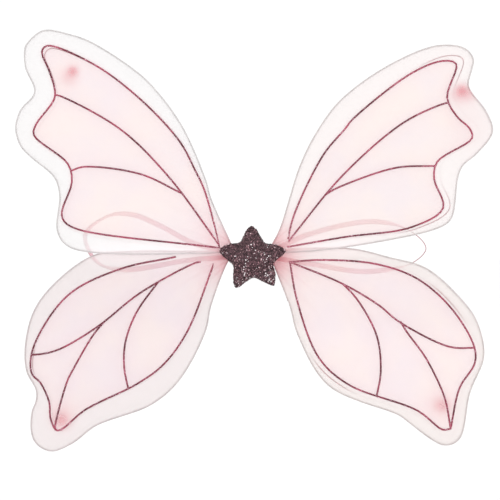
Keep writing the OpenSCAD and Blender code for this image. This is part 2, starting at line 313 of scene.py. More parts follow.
def resampled(path, step, closed=False):
    """Evenly spaced points along a smooth curve through a path"""
    p = np.vstack([path, path[:1]]) if closed else np.asarray(path)
    ends = (p[-2:-1], p[1:2]) if closed else (2 * p[:1] - p[1:2], 2 * p[-1:] - p[-2:-1])
    q = np.vstack([ends[0], p, ends[1]])
    fine = []
    for a, b, c, d in zip(q, q[1:], q[2:], q[3:]):
        for t in (0, 0.25, 0.5, 0.75):
            fine.append(b + 0.5 * t * (c - a + t * (2 * a - 5 * b + 4 * c - d + t * (3 * (b - c) + d - a))))
    fine = np.array(fine + [p[-1]])
    run = np.concatenate([[0], np.cumsum(np.linalg.norm(np.diff(fine, axis=0), axis=1))])
    n = max(2, round(run[-1] / step) + 1)
    at = np.linspace(0, run[-1], n)[: n - 1 if closed else n]
    return np.column_stack([np.interp(at, run, fine[:, k]) for k in range(fine.shape[1])])


def resampled_loop(loop, step):
    """A closed outline with more points along its long sides"""
    made = []
    for a, b in zip(loop, np.roll(loop, -1, axis=0)):
        n = max(1, round(np.linalg.norm(b - a) / step))
        made.extend(a + (b - a) * k / n for k in range(n))
    return np.array(made)


def normals_of(path, closed=False):
    """Unit normals to the left of a path"""
    if closed:
        d = np.roll(path, -1, axis=0) - np.roll(path, 1, axis=0)
    else:
        d = np.gradient(path, axis=0)
    d = d / np.maximum(np.linalg.norm(d, axis=1), 1e-12)[:, None]
    return np.column_stack([-d[:, 1], d[:, 0]])


def area_of(loop):
    """Area inside a closed outline, less than 0 where it runs clockwise"""
    x, z = loop[:, 0], loop[:, 1]
    return float((x * np.roll(z, -1) - np.roll(x, -1) * z).sum() / 2)


def inside(points, loops):
    """True where a point lies inside closed outlines, by the even-odd rule"""
    found = np.zeros(len(points), bool)
    x, z = points[:, 0], points[:, 1]
    for loop in loops:
        for a, b in zip(loop, np.roll(loop, -1, axis=0)):
            if a[1] != b[1]:
                crosses = (a[1] > z) != (b[1] > z)
                found ^= crosses & (x < a[0] + (z - a[1]) * (b[0] - a[0]) / (b[1] - a[1]))
    return found


def tree_of(points):
    """Points [x, z] in a form that is quick to search"""
    tree = kdtree.KDTree(len(points))
    for i, p in enumerate(points):
        tree.insert((p[0], p[1], 0), i)
    tree.balance()
    return tree


def distance_to(points, tree):
    """Distance from each point to the nearest one in a tree"""
    return np.array([tree.find((p[0], p[1], 0))[2] for p in points])


def distance_to_path(points, path, step):
    """Distance from each point to a path, which is first resampled"""
    return distance_to(points, tree_of(resampled(path, step)))


def triangulated(points, loops, extra_edges=()):
    """Triangles that fill closed outlines, which are given as rows of points"""
    edges = [e for loop in loops for e in zip(loop, loop[1:] + loop[:1])] + list(extra_edges)
    flat = [Vector((p[0] / MM, p[1] / MM)) for p in points]
    made = geometry.delaunay_2d_cdt(flat, edges, [], 0, 1e-4)
    corners = np.array([tuple(v) for v in made[0]]) * MM
    faces = np.array([f for f in made[2]])
    middles = corners[faces].mean(axis=1)
    return corners, faces[inside(middles, [points[loop] for loop in loops])]


def grid_in(outline, step):
    """Points of a triangular grid inside an outline"""
    low, high = outline.min(axis=0), outline.max(axis=0)
    xs = np.arange(low[0], high[0], step)
    zs = np.arange(low[1], high[1], step * ROW_HEIGHT)
    grid = np.array([(x + (k % 2) * step / 2, z) for k, z in enumerate(zs) for x in xs])
    return grid[inside(grid, [outline])]


def filled(outline, step, insets):
    """Points and triangles that fill an outline, with rows of points close inside its edge"""
    turn = 1 if area_of(outline) > 0 else -1
    inwards = turn * normals_of(outline, closed=True)
    border = tree_of(outline)
    rows = [outline]
    for inset in insets:
        moved = outline + inset * inwards
        rows.append(moved[inside(moved, [outline]) & (distance_to(moved, border) > 0.8 * inset)])
    grid = grid_in(outline, step)
    rows.append(grid[distance_to(grid, border) > insets[-1] + 0.6 * step])
    return triangulated(np.vstack(rows), [list(range(len(outline)))])


# The wings' own lines


def wire_path(wing):
    """The whole of a wing's wire, from the hub, round the wing and back to the hub"""
    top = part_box("wire_" + wing)[1].y
    outer = wire_centres(cad_solids("wire_" + wing)[0], top)
    solids = cad_solids("root_wires_" + side_word(wing))
    roots = [wire_centres(p, top) for p in solids if abs(p[:, 1].max() - top) < 1e-5]
    roots.sort(key=lambda r: np.linalg.norm(r[-1] - outer[0]))
    return resampled(np.vstack([roots[0], outer, roots[1][::-1]]), 2.4 * MM)


def offset(path, outwards):
    """A wing's path moved away from its middle"""
    turn = 1 if area_of(path) > 0 else -1
    return path - turn * outwards * normals_of(path)


def contour(wing):
    """Outer side of a wing's contour line, as a path or a closed outline"""
    loop = face_loops("glitter_" + wing)[0]
    if wing not in CONTOUR_ENDS:
        return np.vstack([loop, loop[:1]])
    tree = tree_of(loop)
    i, j = sorted(tree.find((x * MM, z * MM, 0))[1] for x, z in CONTOUR_ENDS[wing])
    arcs = [loop[i : j + 1], np.vstack([loop[j:], loop[: i + 1]])]
    return max(arcs, key=lambda arc: abs(area_of(arc)))


# Hills and valleys of the cloth


def gather_point(wing):
    """Where a wing's cloth is gathered, at the hub"""
    ends = wire_paths[wing][[0, -1]]
    return ends.mean(axis=0) * [0.55, 1]


def pleats(wing, points):
    """Gathers that fan out from the hub, from -1 to 1, fading with distance"""
    d = points - gather_point(wing)
    away = np.linalg.norm(d, axis=1)
    turn = np.arctan2(d[:, 1], np.abs(d[:, 0]))
    phase = 3.7 * WINGS.index(wing)
    waves = np.sin(26 * turn + phase) + 0.6 * np.sin(43 * turn + 2 * phase + away / (9 * MM))
    return waves / 1.6 * np.exp(-away / (24 * MM))


def cloth_height(wing, points):
    """Distance of a layer of cloth from the middle of its wing, away from the wire"""
    pull = 0.12 * MM * uneven(points, 55 * MM, 30 * MM, WINGS.index(wing) * 9)
    room = smoothstep(np.abs(points[:, 0]), HUB_X, HUB_X + 6 * MM)
    return CLOTH_STAND_OFF + 0.45 * MM * pleats(wing, points) * room + pull


# Pieces


def new_object(name, points, faces, material, smooth=True):
    """A mesh of its own, with one material"""
    mesh = bpy.data.meshes.new(name)
    mesh.from_pydata([tuple(p) for p in points], [], [tuple(int(i) for i in f) for f in faces])
    mesh.update()
    if smooth:
        mesh.polygons.foreach_set("use_smooth", [True] * len(mesh.polygons))
    mesh.materials.append(material)
    made = bpy.data.objects.new(name, mesh)
    bpy.context.scene.collection.objects.link(made)
    return made


def solid(name, points, faces, front, back, material):
    """Closed form over flat triangles, between Y = front and Y = back. The two meet where they are equal"""
    apart = np.abs(back - front) > 1e-8
    number = np.arange(len(points))
    number[apart] = len(points) + np.arange(int(apart.sum()))
    front_points = np.column_stack([points[:, 0], front, points[:, 1]])
    back_points = np.column_stack([points[:, 0], back, points[:, 1]])[apart]
    both = np.vstack([faces, number[faces][:, ::-1]])
    return new_object(name, np.vstack([front_points, back_points]), both, material)


def plate(name, outline, front, back, rounding, material, step=1.5 * MM, rough=0.0):
    """Flat piece with a rounded edge, and a slightly uneven face if rough isn't 0"""
    points, faces = filled(outline, step, [0.25 * rounding, 0.6 * rounding, 1.1 * rounding])
    depth = np.clip(distance_to(points, tree_of(resampled_loop(outline, 0.3 * MM))) / rounding, 0, 1)
    depth[: len(outline)] = 0
    half = (back - front) / 2 * np.sqrt(1 - (1 - depth) ** 2)
    bumps = rough * depth * uneven(points, 5 * MM, 5 * MM, 1)
    middle = (front + back) / 2
    return solid(name, points, faces, middle - half - bumps, middle + half, material)


def tube_faces(rings, around, first=0, turn=1):
    """Faces of a closed tube made of rings of points. Turn is -1 where the rings run the other way"""
    faces = []
    for i in range(rings - 1):
        for k in range(around):
            a, b = first + i * around + k, first + i * around + (k + 1) % around
            faces.append((a, *(b, b + around, a + around)[::turn]))
    start = [first + k for k in range(around)][::-1]
    end = [first + (rings - 1) * around + k for k in range(around)]
    return faces + [start[::turn], end[::turn]]


def strands(name, paths, radius, material, sides=6):
    """Threads of one thickness along paths of 3-D points, as one piece"""
    points, faces = [], []
    for path in paths:
        path = [Vector(p) for p in path]
        faces.extend(tube_faces(len(path), sides, first=len(points)))
        side = None
        for i, here in enumerate(path):
            forward = (path[min(i + 1, len(path) - 1)] - path[max(i - 1, 0)]).normalized()
            side = forward.orthogonal() if side is None else side - forward * side.dot(forward)
            side = side.normalized()
            up = forward.cross(side)
            for k in range(sides):
                a = math.tau * k / sides
                points.append(here + radius * (math.cos(a) * side + math.sin(a) * up))
    return new_object(name, points, faces, material)


def set_values(piece, name, values):
    """A number for each point of a mesh, which its material reads"""
    attribute = piece.data.attributes.new(name, "FLOAT", "POINT")
    attribute.data.foreach_set("value", np.asarray(values, np.float32))


def positions(piece):
    """Places of a mesh's points"""
    return np.array([v.co for v in piece.data.vertices])


# Wings


def fold_points(wing, edge):
    """Points all along the fold, where the cloth can part or bend, from edge to edge"""
    crossings = []
    for a, b in zip(edge, edge[1:]):
        if (abs(a[0]) - FOLD_X) * (abs(b[0]) - FOLD_X) < 0:
            t = (FOLD_X - abs(a[0])) / (abs(b[0]) - abs(a[0]))
            crossings.append((a + t * (b - a))[1])
    bottom, top = min(crossings), max(crossings)
    n = round((top - bottom) / FINE)
    return np.array([(side_of(wing) * FOLD_X, z) for z in np.linspace(bottom, top, n + 1)])


def wing_surface(wing):
    """Points [x, z] and triangles of a wing's cloth, from the hub to its edge"""
    edge = offset(wire_paths[wing], EDGE_REACH)
    rows = [edge]
    for inset in (0.3, 0.8, 1.6):
        rows.append(offset(wire_paths[wing], EDGE_REACH - inset * MM)[1:-1])
    border = tree_of(resampled(edge, 1 * MM))
    for step, near in ((FINE, True), (COARSE, False)):
        grid = grid_in(edge, step)
        grid = grid[(np.abs(grid[:, 0]) < FINE_REACH) == near]
        grid = grid[np.abs(np.abs(grid[:, 0]) - FOLD_X) > 0.5 * FINE]
        rows.append(grid[distance_to(grid, border) > max(2.4 * MM, 0.7 * step)])
    fold = fold_points(wing, edge)
    first = sum(len(row) for row in rows)
    cut = [(first + i, first + i + 1) for i in range(len(fold) - 1)]
    return triangulated(np.vstack(rows + [fold]), [list(range(len(edge)))], cut)


def set_cloth_values(piece, wing, facing, points, depth):
    """What the cloth's colour and cover depend on, from 0 to 1 at each point"""
    region = contour(wing)
    within = inside(points, [region])
    past_line = np.where(within, 1, -1) * smoothstep(distance_to_path(points, region, 1 * MM), 0, TINT_BLUR)
    set_values(piece, "tint", 0.5 + 0.5 * past_line)
    lines = np.vstack([resampled_loop(loop, 1.5 * MM) for loop in face_loops("glitter_" + wing)])
    glow = np.exp(-distance_to(points, tree_of(lines)) / LINE_GLOW)
    set_values(piece, "near", 0.62 * glow * within)
    # Overlap: where the other wing of the side lies behind or near; it sets painted light in the colour there
    # and thins the cover
    beside = offset(wire_paths[neighbour(wing)], EDGE_REACH)
    fading = 1 - smoothstep(distance_to_path(points, beside, 1 * MM), 1 * MM, MEETING_REACH)
    set_values(piece, "overlap", np.where(inside(points, [beside]), 1, fading))
    away = np.linalg.norm(points - gather_point(wing), axis=1)
    set_values(piece, "root", ROOT_STRENGTH[wing] * np.exp(-((away / ROOT_REACH) ** 2)))
    # Painted shade: how deep each point lies in a pleat's valley, which darkens the cloth's colour there
    set_values(piece, "valley_shade", np.clip(-facing * pleats(wing, points) * 1.6, 0, 1))
    set_values(piece, "edge", 0.4 * (1 - smoothstep(depth, 0.1 * MM, 1.0 * MM)))
    blot = sum(strength * bell(points, x, z, radius) for x, z, radius, strength in BLOTS[wing])
    set_values(piece, "blot", np.clip(blot, 0, 1))


def cloth(wing, facing, part, points, faces):
    """One layer of a wing's cloth. It closes round the wire at its edge"""
    depth = distance_to_path(points, offset(wire_paths[wing], EDGE_REACH), 0.5 * MM)
    closing = np.sqrt(1 - (1 - np.clip(depth / EDGE_TURN, 0, 1)) ** 2)
    at_hub = smoothstep(np.abs(points[:, 0]), HUB_X - 1 * MM, HUB_X + 3 * MM)
    rise = np.maximum(closing, 1 - at_hub)
    y = plane_of(wing) + facing * cloth_height(wing, points) * rise
    word = "front" if facing == FRONT else "back"
    place = np.column_stack([points[:, 0], y, points[:, 1]])
    piece = new_object(f"{wing}_{word}_cloth{part}", place, faces, cloth_materials[wing])
    set_cloth_values(piece, wing, facing, points, depth)
    return piece


def kept(points, faces, chosen):
    """The points and triangles of some of a surface's triangles"""
    used = np.unique(faces[chosen])
    place = np.full(len(points), -1)
    place[used] = np.arange(len(used))
    return points[used], place[faces[chosen]]


def bend_at_fold(piece):
    """Bakes the piece's transform into its points; the piece is not turned at the fold"""
    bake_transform(piece)


def make_wing(wing):
    """Both layers of cloth. An upper wing's cloth is parted at the fold, and a lower wing's is one piece"""
    points, faces = wing_surface(wing)
    outer = np.abs(points[faces].mean(axis=1)[:, 0]) > FOLD_X
    for facing, word in ((FRONT, "front"), (BACK, "back")):
        if wing.startswith("upper"):
            piece = cloth(wing, facing, "", *kept(points, faces, outer))
            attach(piece, body_of(wing))
            root = cloth(wing, facing, "_root", *kept(points, faces, ~outer))
            bend_at_fold(root)
            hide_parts("neck_" + wing)
        else:
            piece = cloth(wing, facing, "", points, faces)
            bend_at_fold(piece)
            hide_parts("neck_" + wing)
        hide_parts(f"{word}_fabric_{wing}")


def tube(name, path, plane, radius, material, sides=10):
    """Round wire along a path in a wing's plane, with round ends"""
    left = normals_of(path)
    forward = np.column_stack([left[:, 1], -left[:, 0]])
    tilts = (1.3, 0.9, 0.45)
    stations = [(path[0] - radius * math.sin(a) * forward[0], left[0], math.cos(a)) for a in tilts]
    stations += [(here, across, 1) for here, across in zip(path, left)]
    stations += [(path[-1] + radius * math.sin(a) * forward[-1], left[-1], math.cos(a)) for a in tilts[::-1]]
    points = []
    for centre, across, size in stations:
        for k in range(sides):
            a = math.tau * k / sides
            c = centre + radius * size * math.cos(a) * across
            points.append((c[0], plane + radius * size * math.sin(a), c[1]))
    return new_object(name, points, tube_faces(len(stations), sides), material)


def make_lower_wire(wing):
    """One wire from the hub, round the wing and back"""
    piece = tube(wing + "_edge_wire", wire_paths[wing], plane_of(wing), WIRE_RADIUS, wire_coat)
    bend_at_fold(piece)
    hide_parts("wire_" + wing, "root_wires_" + side_word(wing))


def make_upper_wire(wing):
    """The wire outside the fold, and its two ends inboard of it"""
    path, plane = wire_paths[wing], plane_of(wing)
    past = np.abs(path[:, 0]) > FOLD_X
    first, last = int(np.argmax(past)), len(past) - 1 - int(np.argmax(past[::-1]))

    def crossing(i, j):
        t = (FOLD_X - abs(path[i][0])) / (abs(path[j][0]) - abs(path[i][0]))
        return path[i] + t * (path[j] - path[i])

    start, end = crossing(first - 1, first), crossing(last + 1, last)
    outer = np.vstack([start, path[first : last + 1], end])
    piece = tube(wing + "_edge_wire", outer, plane, WIRE_RADIUS, wire_coat)
    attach(piece, body_of(wing))
    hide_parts("wire_" + wing)
    runs = (np.vstack([path[:first], start]), np.vstack([path[last + 1 :][::-1], end]))
    for number, run in enumerate(runs, 1):
        root = tube(f"{wing}_root_wire_{number}", run, plane, WIRE_RADIUS, wire_coat)
        bend_at_fold(root)


# Glitter lines


def bead(name, wing, loops, material):
    """A rounded raised line on the front cloth that fills flat outlines"""
    loops = [resampled_loop(loop, 0.55 * MM) for loop in loops]
    ids, rows, count = [], [], 0
    for loop in loops:
        ids.append(list(range(count, count + len(loop))))
        rows.append(loop)
        count += len(loop)
    border = tree_of(np.vstack(loops))
    for inset in (0.28 * MM, 0.62 * MM):
        for loop in loops:
            for way in (1, -1):
                moved = loop + way * inset * normals_of(loop, closed=True)
                clear = distance_to(moved, border) > 0.85 * inset
                rows.append(moved[clear & inside(moved, loops)])
    points, faces = triangulated(np.vstack(rows), ids)
    depth = np.clip(distance_to(points, border) / (LINE_WIDTH / 2), 0, 1)
    lumps = 1 + LINE_LUMPS * uneven(points, 1.6 * MM, 1.6 * MM, 3)
    rise = LINE_HEIGHT * np.sqrt(1 - (1 - depth) ** 2) * lumps
    y = plane_of(wing) - cloth_height(wing, points) + LINE_SINK - rise
    piece = new_object(name, np.column_stack([points[:, 0], y, points[:, 1]]), faces, material)
    away = np.linalg.norm(points - gather_point(wing), axis=1)
    set_values(piece, "pale", PALE_START[wing] * np.exp(-((away / PALE_REACH) ** 2)))
    return piece


def make_glitter(wing):
    """A wing's lines outside the fold, and the ends of an upper wing's lines inboard of it"""
    piece = bead(wing + "_glitter", wing, face_loops("glitter_" + wing), line_glitter)
    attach(piece, body_of(wing))
    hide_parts("glitter_" + wing)
    if wing.startswith("upper"):
        for number, stroke in enumerate(inner_strokes(wing), 1):
            end = bead(f"{wing}_glitter_end_{number}", wing, [stroke], line_glitter)
            bend_at_fold(end)


def line_ends(wing):
    """Middle and direction of each line that ends at the fold"""
    loops = face_loops("glitter_" + wing)
    start = min(abs(loop[:, 0]).min() for loop in loops)
    found = []
    for loop in loops:
        for i in range(len(loop)):
            a, b = loop[i], loop[(i + 1) % len(loop)]
            if abs(abs(a[0]) - start) > 1e-6 or abs(abs(b[0]) - start) > 1e-6:
                continue
            middle = (a + b) / 2
            before = (loop[(i - 1) % len(loop)] + loop[(i + 2) % len(loop)]) / 2
            found.append((middle, (middle - before) / np.linalg.norm(middle - before)))
    return found


def inner_strokes(wing):
    """Ends of an upper wing's lines inboard of the fold, which the CAD lines stop short of"""
    length = FAN_LENGTH[wing]
    meet = np.array([side_of(wing) * (FOLD_X - length), FAN_HEIGHT[wing]])
    overlap = 0.3 * MM
    t = np.linspace(0, 1, 9)[:, None]
    half = np.linspace(0.9, 0.55, 9)[:, None] * MM
    strokes = []
    for middle, along in line_ends(wing):
        if length < SHORT_FAN:
            path = middle + along * (t * length * 1.4 - overlap)
        else:
            bend = middle + along * np.linalg.norm(meet - middle) * 0.5
            path = (1 - t) ** 2 * (middle - along * overlap) + 2 * t * (1 - t) * bend + t * t * meet
        left = normals_of(path)
        strokes.append(np.vstack([path + half * left, (path - half * left)[::-1]]))
    return strokes


def back_line_path(wing):
    """The back layer's line: the contour line, moved as its wing's row of BACK_LINES says"""
    scale, about, shift, _ = BACK_LINES[wing]
    about = np.array(about) * MM
    path = resampled(contour(wing), 1.2 * MM)
    path = about + (path - about) * scale + np.array(shift) * MM
    path = path[inside(path, [offset(wire_paths[wing], -1.5 * MM)])]
    path = path[np.abs(path[:, 0]) > FOLD_X + 1 * MM]
    gaps = np.linalg.norm(np.diff(path, axis=0), axis=1)
    if gaps.max() > BACK_LINE_GAP:
        jump = int(np.argmax(gaps)) + 1
        path = np.vstack([path[jump:], path[:jump]])
    return path


def back_line(wing):
    """Thin line on the front of the back layer, in the runs that are unbroken"""
    path = back_line_path(wing)
    left = normals_of(path)
    y = plane_of(wing) + cloth_height(wing, path) - 0.2 * MM
    rows = []
    for u, h in BACK_LINE_SECTION:
        moved = path + u * MM * left
        rows.append(np.column_stack([moved[:, 0], y - h * MM, moved[:, 1]]))
    n = len(path)
    faces = [
        (k * n + i, k * n + i + 1, (k + 1) * n + i + 1, (k + 1) * n + i)
        for k in range(len(BACK_LINE_SECTION) - 1)
        for i in range(n - 1)
        if np.linalg.norm(path[i + 1] - path[i]) < BACK_LINE_GAP
    ]
    piece = new_object(wing + "_back_line", np.vstack(rows), faces, back_glitter)
    show = sum(bell(path, x, z, reach, power=4) for x, z, reach in BACK_LINES[wing][3])
    set_values(piece, "show", np.tile(np.clip(show, 0, 1), len(BACK_LINE_SECTION)))
    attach(piece, body_of(wing))


# Star


def swell(points, outline, top):
    """Height of a stuffed form over each point: a skin blown up from its outline"""
    step = SWELL_STEP
    low, high = outline.min(axis=0) - 2 * step, outline.max(axis=0) + 2 * step
    xs, zs = np.arange(low[0], high[0], step), np.arange(low[1], high[1], step)
    gx, gz = np.meshgrid(xs, zs)
    within = inside(np.column_stack([gx.ravel(), gz.ravel()]), [outline]).reshape(gx.shape)
    u = np.zeros(gx.shape)
    for _ in range(SWELL_ROUNDS):
        around = (u[:-2, 1:-1] + u[2:, 1:-1] + u[1:-1, :-2] + u[1:-1, 2:]) / 4
        u[1:-1, 1:-1] = np.where(within[1:-1, 1:-1], around + 1, 0)
    i = np.clip((points[:, 0] - low[0]) / step, 0, len(xs) - 1.001)
    j = np.clip((points[:, 1] - low[1]) / step, 0, len(zs) - 1.001)
    i0, j0 = i.astype(int), j.astype(int)
    fi, fj = i - i0, j - j0
    upper = u[j0 + 1, i0] * (1 - fi) + u[j0 + 1, i0 + 1] * fi
    lower = u[j0, i0] * (1 - fi) + u[j0, i0 + 1] * fi
    return top * np.sqrt((upper * fj + lower * (1 - fj)) / u.max())


def stuffed(piece, pinned, growth=0.07, scale=10, frames=14):
    """Blows the piece up by cloth simulation, with more cloth than it needs so that it puckers"""
    scene = bpy.context.scene
    piece.data.transform(Matrix.Scale(scale, 4))
    held = piece.vertex_groups.new(name="held")
    held.add([int(i) for i in pinned], 1.0, "REPLACE")
    modifier = piece.modifiers.new("cloth", "CLOTH")
    settings = modifier.settings
    settings.quality = 6
    settings.vertex_group_mass = "held"
    settings.use_pressure = True
    settings.uniform_pressure_force = 6
    settings.shrink_min = -growth
    settings.effector_weights.gravity = 0
    modifier.collision_settings.use_collision = False
    modifier.point_cache.frame_start = 1
    modifier.point_cache.frame_end = frames
    for f in range(1, frames + 1):
        scene.frame_set(f)
    graph = bpy.context.evaluated_depsgraph_get()
    blown = bpy.data.meshes.new_from_object(piece.evaluated_get(graph))
    piece.modifiers.clear()
    piece.vertex_groups.clear()
    piece.data = blown
    piece.data.transform(Matrix.Scale(1 / scale, 4))
    scene.frame_set(1)


def star_cushion(outline):
    """Stuffed glitter cloth, nearly as high as the CAD star, with its chips"""
    low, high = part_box("star_cover")
    top = high.y - low.y
    points, faces = filled(outline, 1.15 * MM, [0.35 * MM, 0.95 * MM])
    height = swell(points, outline, 0.8 * top)
    height[: len(outline)] = 0
    back = np.full(len(points), high.y)
    piece = solid("star_cushion", points, faces, back - height, back, star_cloth)
    stuffed(piece, [*range(len(outline)), *range(len(points), len(piece.data.vertices))])
    co = positions(piece)
    rise = np.clip(high.y - co[:, 1], 0, None)
    rise[: len(points)] *= STAR_PUFF * top / rise.max()
    co[:, 1] = high.y - rise
    piece.data.vertices.foreach_set("co", co.ravel())
    piece.data.update()
    # Painted shade: near 1 where the cushion dips low at its seam
    set_values(piece, "seam", np.exp(-np.abs(rise) / (1.2 * MM)))
    piece.data.polygons.foreach_set("use_smooth", [True] * len(piece.data.polygons))
    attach(piece, "hub")
    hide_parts("star_cover", "star_filling")
    make_flakes(piece, high.y - 0.3 * MM)
    return piece


def make_flakes(piece, limit):
    """Chips of glitter that lie on the star's cloth at odd tilts"""
    polygons = [p for p in piece.data.polygons if p.center.y < limit and p.normal.y < 0.2]
    weights = [p.area for p in polygons]
    points, faces, shades = [], [], []
    for p in random.choices(polygons, weights, k=STAR_FLAKES):
        corners = [piece.data.vertices[i].co for i in p.vertices]
        shares = [random.random() + 0.01 for _ in corners]
        centre = sum((c * w for c, w in zip(corners, shares)), Vector()) / sum(shares)
        tilt = Vector([random.gauss(0, 0.22) for _ in range(3)])
        normal = (p.normal + tilt).normalized()
        side = normal.orthogonal().normalized()
        side.rotate(Quaternion(normal, random.uniform(0, math.tau)))
        up = normal.cross(side)
        size = random.uniform(0.3, 0.85) * MM
        centre += p.normal * random.uniform(0.08, 0.26) * MM
        first = len(points)
        sides = random.choice((4, 5, 6))
        for k in range(sides):
            a = math.tau * k / sides
            points.append(centre + size * (math.cos(a) * side + math.sin(a) * up))
        faces.append(list(range(first, first + sides)))
        # Painted glints: noise and a lean towards the bottom push more chips into the palest colours
        glint_cluster = noise.noise(centre / (9 * MM)) * 0.5 - (centre.z - STAR_CENTRE_Z) / (90 * MM)
        shade = random.random() + 0.3 * glint_cluster
        shades.extend([shade] * sides)
    flakes = new_object("star_glitter", points, faces, flake, smooth=False)
    set_values(flakes, "shade", shades)
    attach(flakes, "hub")


def star_felt_back(outline):
    """Felt behind the star"""
    front, back = (corner.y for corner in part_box("star_backing"))
    piece = plate("star_felt_back", outline, front, back, 0.5 * MM, star_felt, rough=0.1 * MM)
    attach(piece, "hub")
    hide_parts("star_backing")


def star_stitches(outline):
    """Stitches over the star's edge, from the felt to the glitter cloth"""
    front, back = (corner.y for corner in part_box("star_backing"))
    # distance in from the edge in mm, and place along Y
    run = [(0.9, back + 0.2 * MM), (-0.1, back + 0.1 * MM), (-0.2, front), (0.5, front - 1.1 * MM)]
    slant = 0.5 * MM
    loop = resampled(outline, 3.2 * MM, closed=True)
    inwards = (1 if area_of(loop) > 0 else -1) * normals_of(loop, closed=True)
    paths = []
    for here, inner in zip(loop, inwards):
        along = slant * np.array([inner[1], -inner[0]])
        places = [here + inner * u * MM + along * k / 3 for k, (u, _) in enumerate(run)]
        paths.append([(x, y, z) for (x, z), (_, y) in zip(places, run)])
    piece = strands("star_seam_stitches", paths, 0.2 * MM, dark_thread)
    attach(piece, "hub")


def make_star():
    outline = resampled_loop(face_loops("star_backing")[0], 0.9 * MM)
    cushion = star_cushion(outline)
    star_felt_back(outline)
    star_stitches(outline)


# Hub


def make_wrap():
    """Tape wound round the wires where they meet"""
    low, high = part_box("wire_wrap")
    middle, half = (low + high) / 2, (high - low) / 2
    around = 72
    squared = 0.55  # power that turns a round section into a nearly square one
    slant = 0.28
    end_length, end_shrink = 1.6 * MM, 0.18
    xs = np.arange(low.x, high.x + 1e-6, 0.3 * MM)
    points = []
    for x in xs:
        end = min(x - low.x, high.x - x) / end_length
        shrink = 1 - end_shrink * (1 - min(1, end)) ** 2
        for k in range(around):
            a = math.tau * k / around
            c, s = math.cos(a), math.sin(a)
            y = math.copysign(abs(c) ** squared, c) * (half.y - TAPE_LAP)
            z = math.copysign(abs(s) ** squared, s) * (half.z - TAPE_LAP)
            turn = (x + slant * z) / TAPE_PITCH
            out = Vector((0, y, z)).normalized() * TAPE_LAP * (1 - (turn % 1)) ** 3
            points.append((x, middle.y + y * shrink + out.y, middle.z + z * shrink + out.z))
    piece = new_object("hub_tape", points, tube_faces(len(xs), around, turn=-1), tape)
    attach(piece, "hub")
    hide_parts("wire_wrap")


def make_pad():
    """Felt disc against the wearer's back"""
    low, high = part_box("back_pad")
    radius, n = high.x, 110
    turns = [math.tau * k / n for k in range(n)]
    outline = np.array([(radius * math.cos(a), radius * math.sin(a)) for a in turns])
    piece = plate("back_pad_felt", outline, low.y, high.y, 0.9 * MM, pad_felt, rough=0.25 * MM)
    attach(piece, "hub")
    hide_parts("back_pad")


def pad_stitches():
    """Blanket stitch round the pad: a spoke over its edge, then a run along the edge to the next"""
    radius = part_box("back_pad")[1].x
    spoke = ((2.9, -0.1), (2.1, 0.12), (0.4, 0.0), (-0.1, -0.5))  # distance in from the edge and Y, in mm
    edge_radius, edge_y = radius + 0.1 * MM, -0.6 * MM
    paths = []
    for k in range(PAD_STITCHES):
        a, b = math.tau * k / PAD_STITCHES, math.tau * (k + 1) / PAD_STITCHES
        path = []
        for inset, y in spoke:
            r = radius - inset * MM
            path.append((r * math.cos(a), y * MM, r * math.sin(a)))
        for t in np.linspace(a, b, 5)[1:]:
            path.append((edge_radius * math.cos(t), edge_y, edge_radius * math.sin(t)))
        paths.append(path)
    piece = strands("back_pad_stitches", paths, 0.24 * MM, thread)
    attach(piece, "hub")


def hub_threads():
    """Pairs of twisted threads that hold the pad on"""
    paths = []
    for points in cad_solids("hub_stitches"):
        low, high = points.min(axis=0), points.max(axis=0)
        x, z = (low[0] + high[0]) / 2, (low[2] + high[2]) / 2
        for phase in (0, math.pi):
            path = []
            for t in np.linspace(0, 1, 22):
                a = phase + THREAD_TURNS * math.tau * t
                y = low[1] + (high[1] - low[1]) * t
                path.append((x + THREAD_RADIUS * math.cos(a), y, z + THREAD_RADIUS * math.sin(a)))
            paths.append(path)
    piece = strands("hub_threads", paths, THREAD_RADIUS, thread)
    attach(piece, "hub")
    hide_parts("hub_stitches")


# Elastic


def band_stations(node, start):
    """Middle and half width of a band along its node, as vectors, from the end nearest start"""
    points, triangles = cad_mesh(node)
    near = [set() for _ in points]
    for t in triangles:
        for i in t:
            near[i].update(t)
    ring = set(int(i) for i in np.argsort(np.linalg.norm(points - start, axis=1))[:4])
    seen = set()
    stations = []
    while len(ring) == 4:
        seen |= ring
        a, *others = ring
        others.sort(key=lambda i: np.linalg.norm(points[i] - points[a]))
        b, c, d = others
        half = ((points[a] + points[b]) - (points[c] + points[d])) / 4
        if stations and np.dot(half, stations[-1][3:]) < 0:
            half = -half
        stations.append(np.concatenate([points[[a, b, c, d]].mean(axis=0), half]))
        ring = set().union(*(near[i] for i in ring)) - seen
    return np.array(stations)


def band_ways(centres, halves, i, far_way):
    """Directions across the band and through it at one of its points"""
    forward = centres[min(i + 1, len(centres) - 1)] - centres[max(i - 1, 0)]
    forward /= np.linalg.norm(forward)
    turned = smoothstep(abs(centres[i][0]) / np.abs(centres[:, 0]).max(), *BAND_TURN)
    across = halves[i] / np.linalg.norm(halves[i])
    sign = -1 if np.dot(across, far_way) < 0 else 1
    across = across * (1 - turned) + sign * np.array(far_way) * turned
    across -= forward * np.dot(across, forward)
    across /= np.linalg.norm(across)
    return across, np.cross(forward, across)


